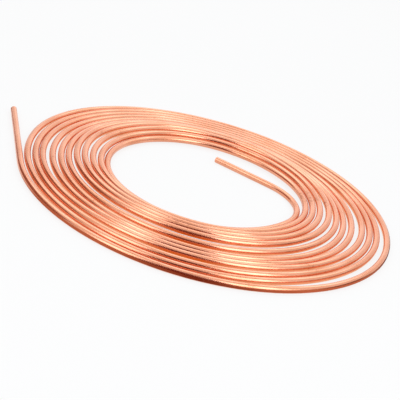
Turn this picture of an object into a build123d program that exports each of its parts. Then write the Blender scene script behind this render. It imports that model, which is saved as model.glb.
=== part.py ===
# Brake line tubing: one length of 3/16 inch copper tube, wound by hand into a loose coil.
# Millimetres, +Z up. The coil lies on the floor, with the origin at the bottom centre of its box.
import os
from itertools import pairwise
from math import pi, sqrt

from build123d import *
from numpy import arange, gradient, interp, radians

os.makedirs("parts", exist_ok=True)

# Tube stock
tube_od = 4.7625  # 3/16 inch
tube_wall = 0.71  # 0.028 inch
end_chamfer = 0.15  # deburred rims of the two cut ends

# Coil, measured along the tube's centreline and seen from above
outer_radius = 136.0
outer_run = 92.0  # straight free end outside the coil
inner_bend_radius = 38.5  # the innermost turn tightens here, towards its free end
inner_bend_angle = 65.0
inner_run = 49.0  # straight free end across the coil's eye

# Six sides of the coil as angles from its right-hand side, in the order that the tube passes them
left_angle = 199.5  # the outer free end leaves the coil here
near_angle = 270
near_right_angle = 320
right_angle = 360
far_angle = 450
far_left_angle = 510
full_turn = 360

# Daylight between each turn and the next one in, on each side, in tube diameters
left_gap_shares = (0.16, 0.20, 0.07, 0.49, 0.30, 0.15, 0.22, 0.13, 0.17, 0.17, 0.07)
near_gap_shares = (0.57, 0.60, 0.95, 0.07, 0.07, 0.64, 0.50, 0.06, 0.07, 0.05, 0.05)
near_right_gap_shares = (1.06, 0.32, 0.51, 0.20, 0.26, 0.53, 0.36, 0.22, 0.22, 0.22, 0.22)
right_gap_shares = (0.60, 0.11, 0.22, 0.66, 0.32, 0.20, 0.30, 0.43, 0.15, 0.08, 0.22)
far_gap_shares = (0.06, 0.08, 0.06, 0.06, 0.06, 0.06, 0.06, 0.20, 0.83, 0.64)
far_left_gap_shares = (0.37, 0.13, 0.26, 0.20, 0.06, 0.06, 0.30, 0.53, 0.53, 0.07)

# Height that each turn springs up off the floor as it passes the near side, in tube diameters
lift_shares = (0, 0, 0, 0, 0, 0, 0.15, 0.60, 0.70, 0.65, 0.55, 0)


def crossing_radii(gap_shares):
    radii = [outer_radius]
    for share in gap_shares:
        radii.append(radii[-1] - tube_od * (1 + share))
    return radii


# Where the centreline passes each side: its angle wound so far, and its distance from the coil's axis
sides = (
    (left_angle, left_gap_shares),
    (near_angle, near_gap_shares),
    (near_right_angle, near_right_gap_shares),
    (right_angle, right_gap_shares),
    (far_angle, far_gap_shares),
    (far_left_angle, far_left_gap_shares),
)
stations = sorted(
    (angle + full_turn * turn, radius)
    for angle, gap_shares in sides
    for turn, radius in enumerate(crossing_radii(gap_shares))
)
angles, radii = zip(*stations)

# Its height there, and the way it heads, level and drawn in or out towards the neighbouring sides,
# but straight along its turn where a free end leaves the coil
near_passes = near_angle + full_turn * arange(len(lift_shares))
heights = tube_od / 2 + tube_od * interp(angles, near_passes, lift_shares)
slopes = gradient(radii, radians(angles))
slopes[0] = slopes[-1] = 0
headings = [
    Vector(slope, radius, 0).rotate(Axis.Z, angle).normalized()
    for slope, radius, angle in zip(slopes, radii, angles)
]

# The coil's axis stands where the box of coil and free end is centred on the origin
outer_start = Vector(outer_radius, 0, 0).rotate(Axis.Z, left_angle)
outer_tip = outer_start - headings[0] * outer_run
left_reach = abs(headings[0].Y) * tube_od / 2 - outer_tip.X
right_reach = outer_radius + tube_od / 2
coil_axis = Vector((left_reach - right_reach) / 2, 0, 0)
points = [
    coil_axis + Vector(radius, 0, height).rotate(Axis.Z, angle)
    for radius, height, angle in zip(radii, heights, angles)
]


def meeting_point(start, heading, end, end_heading):
    # Where two arcs meet that leave the start and reach the end on their headings, tangent to each other
    chord = end - start
    both = heading + end_heading
    turn_share = 2 * (1 - heading.dot(end_heading))
    reach = (sqrt(chord.dot(both) ** 2 + turn_share * chord.dot(chord)) - chord.dot(both)) / turn_share
    return (start + end + (heading - end_heading) * reach) / 2


with BuildPart() as tube:
    with BuildLine() as centreline:
        outer_end = Line(points[0] - headings[0] * outer_run, points[0])
        for (start, heading), (end, end_heading) in pairwise(zip(points, headings)):
            middle = meeting_point(start, heading, end, end_heading)
            first_arc = TangentArc(start, middle, tangent=heading)
            last_arc = TangentArc(middle, end, tangent=first_arc % 1)
        bend = JernArc(last_arc @ 1, last_arc % 1, inner_bend_radius, inner_bend_angle)
        Line(bend @ 1, bend @ 1 + (bend % 1) * inner_run)
    with BuildSketch(Plane(outer_end @ 0, z_dir=outer_end % 0)):
        Circle(tube_od / 2)
        Circle(tube_od / 2 - tube_wall, mode=Mode.SUBTRACT)
    sweep(path=centreline.line)
    cut_ends = tube.faces().filter_by(GeomType.PLANE)
    chamfer(cut_ends.edges(), end_chamfer)

length = sum(edge.length for edge in centreline.edges())
section = pi * (tube_od - tube_wall) * tube_wall
print(f"tube {length:.1f} mm long, section times length {section * length:.1f}, volume {tube.part.volume:.1f}")

tube.part.label = "brake_line_tube"
export_step(tube.part, "parts/brake_line_tube.step")
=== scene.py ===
from itertools import pairwise
from math import asin, ceil, cos, pi, radians, sin, sqrt, tan

import bmesh
import bpy
import numpy as np
from mathutils import Matrix, Vector


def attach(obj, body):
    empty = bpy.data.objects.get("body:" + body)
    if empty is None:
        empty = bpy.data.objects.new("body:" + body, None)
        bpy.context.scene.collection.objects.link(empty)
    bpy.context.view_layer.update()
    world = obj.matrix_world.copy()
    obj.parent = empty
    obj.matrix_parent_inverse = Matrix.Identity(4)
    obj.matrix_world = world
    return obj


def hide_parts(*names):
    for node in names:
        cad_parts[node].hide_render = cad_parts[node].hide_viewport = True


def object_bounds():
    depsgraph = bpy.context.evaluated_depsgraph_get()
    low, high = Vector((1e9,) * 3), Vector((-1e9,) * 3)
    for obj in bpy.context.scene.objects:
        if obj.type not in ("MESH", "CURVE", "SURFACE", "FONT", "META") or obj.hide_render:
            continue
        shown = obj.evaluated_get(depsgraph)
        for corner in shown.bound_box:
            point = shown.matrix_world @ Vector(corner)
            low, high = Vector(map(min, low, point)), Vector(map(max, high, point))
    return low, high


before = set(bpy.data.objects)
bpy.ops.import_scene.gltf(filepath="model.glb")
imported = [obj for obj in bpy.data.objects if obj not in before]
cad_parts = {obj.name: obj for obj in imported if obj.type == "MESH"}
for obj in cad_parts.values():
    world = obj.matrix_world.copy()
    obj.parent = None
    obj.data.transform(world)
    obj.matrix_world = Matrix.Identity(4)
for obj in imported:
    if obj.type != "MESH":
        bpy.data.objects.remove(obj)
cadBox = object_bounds()
mm = 0.001
scene = bpy.context.scene
scene.view_settings.view_transform = "Standard"
print("frame loaded, box", [tuple(round(v, 4) for v in corner) for corner in cadBox])

# the tube and the way it is wound, in mm and degrees
coil = {
    "od": 4.7625,  # 3/16 inch
    "wall": 0.71,
    "rimBevel": 0.15,  # deburred cut ends
    "rimSegments": 2,
    "outerRadius": 136.0,
    "outerRun": 92.0,  # straight free ends
    "innerRun": 49.0,
    "innerBendRadius": 38.5,
    "innerBendAngle": 65.0,
    "sides": {  # angle of each side, and daylight from each turn to the next one in, in tube diameters
        199.5: (0.16, 0.20, 0.07, 0.49, 0.30, 0.15, 0.22, 0.13, 0.17, 0.17, 0.07),
        270: (0.57, 0.60, 0.95, 0.07, 0.07, 0.64, 0.50, 0.06, 0.07, 0.05, 0.05),
        320: (1.06, 0.32, 0.51, 0.20, 0.26, 0.53, 0.36, 0.22, 0.22, 0.22, 0.22),
        360: (0.60, 0.11, 0.22, 0.66, 0.32, 0.20, 0.30, 0.43, 0.15, 0.08, 0.22),
        450: (0.06, 0.08, 0.06, 0.06, 0.06, 0.06, 0.06, 0.20, 0.83, 0.64),
        510: (0.37, 0.13, 0.26, 0.20, 0.06, 0.06, 0.30, 0.53, 0.53, 0.07),
    },
    "liftSide": 270,  # lifts are read where the turns pass this side
    "lifts": (0, 0, 0, 0, 0, 0, 0.15, 0.60, 0.70, 0.65, 0.55, 0),  # off the floor, in tube diameters
    "facets": 24,  # round the section
    "turnStep": 2.6,  # degrees of bend per ring of facets
    "weld": 0.001,  # joins one stretch to the next
    "sharpAngle": 20,  # the rims stay crisp, the section round
}
rightReach = coil["outerRadius"] + coil["od"] / 2
coilAxis = Vector((cadBox[1][0] - rightReach * mm, 0, 0))


def coilStations():
    stations = []
    for angle, gaps in coil["sides"].items():
        radius = coil["outerRadius"]
        stations.append((angle, radius))
        for turn, gap in enumerate(gaps, 1):
            radius -= coil["od"] * (1 + gap)
            stations.append((angle + 360 * turn, radius))
    stations.sort()
    angles, radii = np.array(stations).T
    passes = coil["liftSide"] + 360 * np.arange(len(coil["lifts"]))
    heights = coil["od"] * (0.5 + np.interp(angles, passes, coil["lifts"]))
    slopes = np.gradient(radii, np.radians(angles))
    slopes[0] = slopes[-1] = 0  # the free ends leave straight along their turns
    points, headings = [], []
    for angle, radius, height, slope in zip(np.radians(angles), radii, heights, slopes):
        outward, onward = Vector((cos(angle), sin(angle), 0)), Vector((-sin(angle), cos(angle), 0))
        points.append(coilAxis + outward * radius * mm + Vector((0, 0, height * mm)))
        headings.append((outward * slope + onward * radius).normalized())
    return points, headings


def meetingPoint(start, heading, end, endHeading):  # where two arcs meet, tangent to each other
    chord, both = end - start, heading + endHeading
    turn = 2 * (1 - heading.dot(endHeading))
    reach = (sqrt(chord.dot(both) ** 2 + turn * chord.dot(chord)) - chord.dot(both)) / turn
    return (start + end + (heading - endHeading) * reach) / 2


def addRing(bm, centre, heading, radius, section):
    across = heading.to_track_quat("Z", "Y").to_matrix().to_4x4()
    across.translation = centre
    ring = bmesh.ops.create_circle(bm, segments=coil["facets"], radius=radius, matrix=across)
    for vert in ring["verts"]:
        vert[section] = across.inverted() @ vert.co / mm


def edgesOf(geom):
    return [part for part in geom if isinstance(part, bmesh.types.BMEdge)]


def vertsOf(geom):
    return [part for part in geom if isinstance(part, bmesh.types.BMVert)]


def runStraight(bm, ring, shift):  # a straight length, as one extrusion of the rings
    grown = vertsOf(bmesh.ops.extrude_edge_only(bm, edges=edgesOf(ring))["geom"])
    bmesh.ops.translate(bm, verts=grown, vec=shift)
    return grown + [edge for edge in bm.edges if all(vert in grown for vert in edge.verts)]


def runArc(bm, ring, start, heading, end):  # a bend, as a spin of the rings about its own centre
    chord = end - start
    inward = (chord - heading * chord.dot(heading)).normalized()
    radius = chord.length_squared / (2 * chord.dot(inward))
    angle = 2 * asin(chord.length / (2 * radius))
    steps = ceil(angle / radians(coil["turnStep"]))
    return bmesh.ops.spin(bm, geom=ring, cent=start + inward * radius, axis=heading.cross(inward),
                          angle=angle, steps=steps, use_merge=False)["geom_last"]


def tubeRoute():  # the stretches in order: start, heading there, end, and if it bends
    points, headings = coilStations()
    tip = points[0] - headings[0] * coil["outerRun"] * mm
    route = [(tip, headings[0], points[0], False)]
    for (start, heading), (end, endHeading) in pairwise(zip(points, headings)):
        middle = meetingPoint(start, heading, end, endHeading)
        middleHeading = -endHeading.reflect((end - middle).normalized())
        route += [(start, heading, middle, True), (middle, middleHeading, end, True)]
    start, heading, bend = points[-1], headings[-1], radians(coil["innerBendAngle"])
    inward = Vector((-heading.y, heading.x, 0))
    end = start + (heading * sin(bend) + inward * (1 - cos(bend))) * coil["innerBendRadius"] * mm
    lastHeading = heading * cos(bend) + inward * sin(bend)
    tip = end + lastHeading * coil["innerRun"] * mm
    return route + [(start, heading, end, True), (end, lastHeading, tip, False)]


def windTube():
    route = tubeRoute()
    tip, heading = route[0][:2]
    whole, stretch = bmesh.new(), bmesh.new()
    section = stretch.verts.layers.float_vector.new("section")  # place across the tube, in mm
    addRing(stretch, tip, heading, coil["od"] / 2 * mm, section)
    addRing(stretch, tip, heading, (coil["od"] / 2 - coil["wall"]) * mm, section)
    ring = stretch.verts[:] + stretch.edges[:]
    for start, heading, end, bends in route:  # each stretch grows alone, because a small mesh is quicker
        if bends:
            ring = runArc(stretch, ring, start, heading, end)
        else:
            ring = runStraight(stretch, ring, end - start)
        grown = bpy.data.meshes.new("stretch")
        stretch.to_mesh(grown)
        whole.from_mesh(grown)
        bpy.data.meshes.remove(grown)
        kept = set(ring)
        spent = [vert for vert in stretch.verts if vert not in kept]
        bmesh.ops.delete(stretch, geom=spent, context="VERTS")
    stretch.free()
    return whole


def buildTube():
    bm = windTube()
    bmesh.ops.remove_doubles(bm, verts=bm.verts, dist=coil["weld"] * mm)
    rims = [edge for edge in bm.edges if edge.is_boundary]
    cutEnds = [[edge for edge in rims if (edge.verts[0].co.x < 0) == outer] for outer in (True, False)]
    for rim in cutEnds:
        bmesh.ops.bridge_loops(bm, edges=rim)
        bmesh.ops.bevel(bm, geom=rim, offset=coil["rimBevel"] * mm, affect="EDGES",
                        segments=coil["rimSegments"], profile=0.5, material=-1)
    bmesh.ops.recalc_face_normals(bm, faces=bm.faces)
    for face in bm.faces:
        face.smooth = True
    mesh = bpy.data.meshes.new("brakeLineTube")
    bm.to_mesh(mesh)
    bm.free()
    mesh.set_sharp_from_angle(angle=radians(coil["sharpAngle"]))
    tube = bpy.data.objects.new("brakeLineTube", mesh)
    scene.collection.objects.link(tube)
    return tube


tube = buildTube()
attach(tube, "root")
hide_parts("brake_line_tube")
print("tube wound,", sum(len(p.vertices) - 2 for p in tube.data.polygons), "triangles")


def linear(hexColour):  # sRGB hex to linear
    channels = [int(hexColour[i:i + 2], 16) / 255 for i in (1, 3, 5)]
    return [c / 12.92 if c <= 0.04045 else ((c + 0.055) / 1.055) ** 2.4 for c in channels] + [1]


def addNode(tree, kind, settings=None, links=None):
    node = tree.nodes.new(kind)
    for name, value in (settings or {}).items():
        if isinstance(name, str) and hasattr(node, name):
            setattr(node, name, value)
        else:
            node.inputs[name].default_value = value
    for name, socket in (links or {}).items():
        tree.links.new(socket, node.inputs[name])
    return node


def newMaterial(name):
    material = bpy.data.materials.new(name)
    material.use_nodes = True
    material.node_tree.nodes.clear()
    return material, material.node_tree


# the tube's finish, sizes in mm
copper = {
    "bright": "#F1AA8A",
    "handled": "#DC916B",  # thin oxide where hands have been
    "speck": "#A9654A",  # dried grime
    "roughness": (0.20, 0.31),  # bright, and handled
    "markWidth": 0.8,  # real drawing marks are some 0.05 mm wide, too fine to show
    "markDepth": 0.006,
    "markShare": 0.35,  # how far the marks break up the handled patches
    "patchSize": 24,
    "patchRange": (0.55, 0.95),  # of the noise, from bright to handled
    "patchMost": 0.8,
    "speckSize": 2.5,
    "speckRange": (0.40, 0.50),
    "speckMost": 0.5,
    "smudge": (84, 25, 4),  # from the coil's axis, where hands have soiled it most
    "smudgeSize": 26,
    "smudgeShare": 0.26,
}


# copper alloy drawn through a die, then bright polished: a warm soft mirror with fine lines along it,
# duller and browner where hands have been
def polishedDrawnCopper():
    material, tree = newMaterial("polishedDrawnCopper")
    section = addNode(tree, "ShaderNodeAttribute", {"attribute_name": "section"}).outputs["Vector"]
    place = addNode(tree, "ShaderNodeTexCoord").outputs["Object"]
    marks = addNode(tree, "ShaderNodeTexNoise", {"Scale": 1 / copper["markWidth"], "Detail": 2},
                    {"Vector": section})
    patches = addNode(tree, "ShaderNodeTexNoise", {"Scale": 1 / (copper["patchSize"] * mm), "Detail": 3},
                      {"Vector": place})
    grime = addNode(tree, "ShaderNodeTexNoise", {"Scale": 1 / (copper["speckSize"] * mm), "Detail": 1},
                    {"Vector": place})
    lined = addNode(tree, "ShaderNodeMath", {"operation": "MULTIPLY_ADD", 1: copper["markShare"]},
                    {0: marks.outputs[0], 2: patches.outputs[0]})
    low, high = copper["patchRange"]
    handled = addNode(tree, "ShaderNodeMapRange",
                      {"From Min": low, "From Max": high, "To Max": copper["patchMost"]},
                      {"Value": lined.outputs[0]}).outputs["Result"]
    around = addNode(tree, "ShaderNodeMapping", {
        "vector_type": "TEXTURE", "Location": coilAxis + Vector(copper["smudge"]) * mm,
        "Scale": [copper["smudgeSize"] * mm] * 3}, {"Vector": place})
    smudge = addNode(tree, "ShaderNodeTexGradient", {"gradient_type": "SPHERICAL"},
                     {"Vector": around.outputs[0]})
    crowded = addNode(tree, "ShaderNodeMath", {"operation": "MULTIPLY"},
                      {0: grime.outputs[0], 1: patches.outputs[0]})
    soiled = addNode(tree, "ShaderNodeMath", {"operation": "MULTIPLY_ADD", 1: copper["smudgeShare"]},
                     {0: smudge.outputs["Fac"], 2: crowded.outputs[0]})
    low, high = copper["speckRange"]
    specks = addNode(tree, "ShaderNodeMapRange",
                     {"From Min": low, "From Max": high, "To Max": copper["speckMost"]},
                     {"Value": soiled.outputs[0]}).outputs["Result"]
    worn = addNode(tree, "ShaderNodeMix", {"data_type": "RGBA", 6: linear(copper["bright"]),
                                           7: linear(copper["handled"])}, {0: handled})
    specked = addNode(tree, "ShaderNodeMix", {"data_type": "RGBA", 7: linear(copper["speck"])},
                      {0: specks, 6: worn.outputs[2]})
    smooth, dull = copper["roughness"]
    dulled = addNode(tree, "ShaderNodeMapRange", {"To Min": smooth, "To Max": dull}, {"Value": handled})
    drawn = addNode(tree, "ShaderNodeBump", {"Strength": 1, "Distance": copper["markDepth"] * mm},
                    {"Height": marks.outputs[0]})
    shader = addNode(tree, "ShaderNodeBsdfPrincipled", {"Metallic": 1},
                     {"Base Color": specked.outputs[2], "Roughness": dulled.outputs["Result"],
                      "Normal": drawn.outputs[0]})
    addNode(tree, "ShaderNodeOutputMaterial", links={"Surface": shader.outputs["BSDF"]})
    return material


tube.data.materials.append(polishedDrawnCopper())
print("tube finished")

# floor, light and camera, in mm and degrees, azimuths round the coil's axis from +X
studio = {
    "floorSize": 6000,
    "floorColour": "#FBFBFB",
    "floorGlow": 0.85,  # share of the floor's white that shadows leave
    "roomLevel": 0.95,  # what the camera and the metal see
    "fillLevel": 0.7,  # what lights the floor
    "lampColour": "#F2F8FF",
    "boxDistance": 1200,
    "reflectionSheetLift": 0.05,  # clear of the floor
    "reflectionSheetStep": 4,
    "reflectionSheetSeam": 90,  # azimuth where the colours of painted reflection round a sheet start
}
# azimuth, elevation, width, height, radiance
softboxes = {
    "leftSoftbox": (231, 39, 560, 900, 1.9),
    "rightSoftbox": (314, 39, 680, 900, 2.4),
    "backSoftbox": (90, 50, 1500, 500, 1.25),
    "lowSoftbox": (90, 16, 900, 330, 0.4),
}
# azimuths it spans, radii of its hem and fold, elevation up to which it paints shade, colours round it by
# azimuth; each is a glowing sheet seen only in the metal, as painted reflection: dark bands are painted
# shade, orange is painted reflection of the neighbouring turns
paintedReflections = {
    "leftPaintedReflection": (146, 206, 178, 500, 34, {146: "#9C6856"}),
    "frontPaintedReflection": (198, 380, 138, 520, 15, {200: "#FFFFFF", 220: "#BC866E", 247: "#C69076", 275: "#7C3E2A",
                                           300: "#C89278", 335: "#C89278", 347: "#7E4E42", 370: "#7E4E42",
                                           380: "#FFFFFF"}),
    "middlePaintedReflection": (246, 292, 400, 480, 58, {269: "#6C1E04"}),
    # lies flat under the turns: painted orange reflection of the neighbouring turns and of the shaded
    # floor between them
    "underPaintedReflection": (90, 450, 80, 134, 0, {250: "#FFE8CC", 263: "#E2964A", 276: "#E2964A", 289: "#FFE8CC"}),
}
view = {
    "target": (-2.19, -21.23, 0),  # from the coil's axis
    "distance": 682.007,
    "elevation": 24.3335,
    "roll": 15.9358,
    "focalPixels": 961.14,
    "imagePixels": 400,
    "sensorWidth": 36,
}


def seenRays(tree):  # 1 for what the camera and mirror surfaces see
    path = addNode(tree, "ShaderNodeLightPath")
    seen = addNode(tree, "ShaderNodeMath", {"operation": "MAXIMUM"},
                   {0: path.outputs["Is Camera Ray"], 1: path.outputs["Is Glossy Ray"]})
    return addNode(tree, "ShaderNodeMath", {"operation": "MAXIMUM"},
                   {0: seen.outputs[0], 1: path.outputs["Is Transmission Ray"]}).outputs[0]


def addStage(name, bm, material):
    mesh = bpy.data.meshes.new(name)
    bm.to_mesh(mesh)
    bm.free()
    mesh.materials.append(material)
    piece = bpy.data.objects.new(name, mesh)
    scene.collection.objects.link(piece)
    return piece


def whitePaper():  # matt sheet, part of its white kept bright where the coil shades it
    material, tree = newMaterial("whitePaper")
    paper = addNode(tree, "ShaderNodeBsdfDiffuse", {"Color": linear(studio["floorColour"])})
    glow = addNode(tree, "ShaderNodeEmission", {"Color": linear(studio["floorColour"])})
    share = addNode(tree, "ShaderNodeMath", {"operation": "MULTIPLY", 1: studio["floorGlow"]},
                    {0: seenRays(tree)})
    mixed = addNode(tree, "ShaderNodeMixShader",
                    links={0: share.outputs[0], 1: paper.outputs[0], 2: glow.outputs[0]})
    addNode(tree, "ShaderNodeOutputMaterial", links={"Surface": mixed.outputs[0]})
    return material


def addFloor():
    bm = bmesh.new()
    bmesh.ops.create_grid(bm, x_segments=1, y_segments=1, size=studio["floorSize"] / 2 * mm)
    addStage("floor", bm, whitePaper())


def paintedReflectionGlow(name, colours):  # glowing sheet, no lamp, that shows only in the metal, as bands of painted reflection and painted shade
    material, tree = newMaterial(name)
    place = addNode(tree, "ShaderNodeTexCoord").outputs["Object"]
    turned = addNode(tree, "ShaderNodeMapping", {
        "vector_type": "TEXTURE", "Location": coilAxis,
        "Rotation": (0, 0, radians(studio["reflectionSheetSeam"] - 180))}, {"Vector": place})
    azimuths = addNode(tree, "ShaderNodeTexGradient", {"gradient_type": "RADIAL"},
                       {"Vector": turned.outputs[0]})
    dye = addNode(tree, "ShaderNodeValToRGB", links={"Fac": azimuths.outputs["Fac"]})
    stops = dye.color_ramp.elements
    stops.remove(stops[1])
    for azimuth, colour in colours.items():
        stops.new((azimuth - studio["reflectionSheetSeam"]) / 360).color = linear(colour)
    stops.remove(stops[0])
    cloth = addNode(tree, "ShaderNodeEmission", links={"Color": dye.outputs["Color"]})
    addNode(tree, "ShaderNodeOutputMaterial", links={"Surface": cloth.outputs[0]})
    return material


def addPaintedReflection(name, first, last, hem, fold, elevation, colours):  # flat from hem to fold, then upright
    bm = bmesh.new()
    outward = Vector((cos(radians(first)), sin(radians(first)), 0)) * mm
    ground = coilAxis + Vector((0, 0, studio["reflectionSheetLift"] * mm))
    corners = [ground + outward * hem, ground + outward * fold]
    if elevation:
        corners.append(corners[1] + Vector((0, 0, fold * tan(radians(elevation)) * mm)))
    profile = [bm.verts.new(place) for place in corners]
    edges = [bm.edges.new(pair) for pair in pairwise(profile)]
    bmesh.ops.spin(bm, geom=profile + edges, cent=coilAxis, axis=(0, 0, 1), angle=radians(last - first),
                   steps=ceil((last - first) / studio["reflectionSheetStep"]), use_merge=last - first == 360)
    reflectionSheet = addStage(name, bm, paintedReflectionGlow(name, colours))
    # hidden from the camera, the floor and the shadows, so its glow is only a painted reflection in the
    # metal
    reflectionSheet.visible_camera = reflectionSheet.visible_diffuse = reflectionSheet.visible_shadow = False


def lightWorld():
    scene.world = bpy.data.worlds.new("whiteRoom")
    scene.world.use_nodes = True
    tree = scene.world.node_tree
    tree.nodes.clear()
    level = addNode(tree, "ShaderNodeMapRange",
                    {"To Min": studio["fillLevel"], "To Max": studio["roomLevel"]},
                    {"Value": seenRays(tree)})
    background = addNode(tree, "ShaderNodeBackground", {"Color": (1, 1, 1, 1)},
                         {"Strength": level.outputs["Result"]})
    addNode(tree, "ShaderNodeOutputWorld", links={"Surface": background.outputs[0]})


def addSoftbox(name, azimuth, elevation, width, height, radiance):
    lamp = bpy.data.lights.new(name, "AREA")
    lamp.shape = "RECTANGLE"
    lamp.color = linear(studio["lampColour"])[:3]
    lamp.size, lamp.size_y = width * mm, height * mm
    lamp.energy = radiance * pi * lamp.size * lamp.size_y
    box = bpy.data.objects.new(name, lamp)
    scene.collection.objects.link(box)
    a, e = radians(azimuth), radians(elevation)
    away = Vector((cos(a) * cos(e), sin(a) * cos(e), sin(e)))
    box.matrix_world = away.to_track_quat("Z", "Y").to_matrix().to_4x4()
    box.matrix_world.translation = coilAxis + away * studio["boxDistance"] * mm


def addCamera():
    camera = bpy.data.objects.new("camera", bpy.data.cameras.new("camera"))
    scene.collection.objects.link(camera)
    scene.camera = camera
    camera.data.sensor_width = view["sensorWidth"]
    camera.data.lens = view["focalPixels"] / view["imagePixels"] * view["sensorWidth"]
    e, r = radians(view["elevation"]), radians(view["roll"])
    back = Vector((0, -cos(e), sin(e)))
    level, up = Vector((1, 0, 0)), Vector((0, sin(e), cos(e)))
    right = level * cos(r) + up * sin(r)
    above = up * cos(r) - level * sin(r)
    eye = coilAxis + Vector(view["target"]) * mm + back * view["distance"] * mm
    camera.matrix_world = Matrix((right, above, back)).transposed().to_4x4()
    camera.matrix_world.translation = eye


addFloor()
lightWorld()
for name, place in softboxes.items():
    addSoftbox(name, *place)
for name, span in paintedReflections.items():
    addPaintedReflection(name, *span)
addCamera()
print("floor, light and camera placed")
